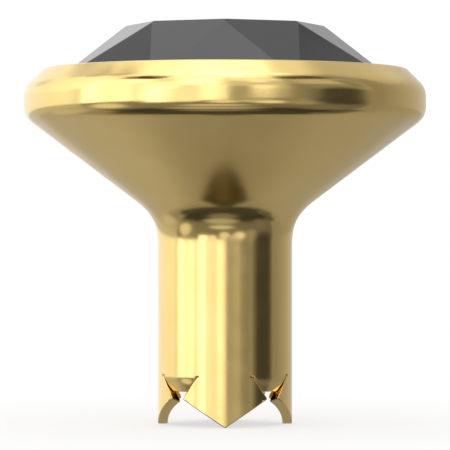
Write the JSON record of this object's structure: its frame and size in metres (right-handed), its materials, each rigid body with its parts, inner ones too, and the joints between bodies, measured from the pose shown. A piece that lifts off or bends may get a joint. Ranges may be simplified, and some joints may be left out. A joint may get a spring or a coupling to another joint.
{
  "type": "crystal rivet",
  "caption": "Decorative rivet: a faceted crystal held by the rolled rim of a cone-shaped metal head, with a hollow shank that ends in spreading prongs.",
  "frame": {"origin": "on the shank's axis, in the plane of the prong tips", "axes": "+Z along the axis from the prong tips to the crystal's table, and one prong points along -Y"},
  "size_m": [0.009, 0.009, 0.0089],
  "materials": {
    "gold_plate": "gold plated, polished",
    "crystal": "smoke grey, foiled back, polished facets"
  },
  "bodies": {
    "root": {"setting": "gold_plate", "crystal": "crystal"}
  },
  "joints": []
}
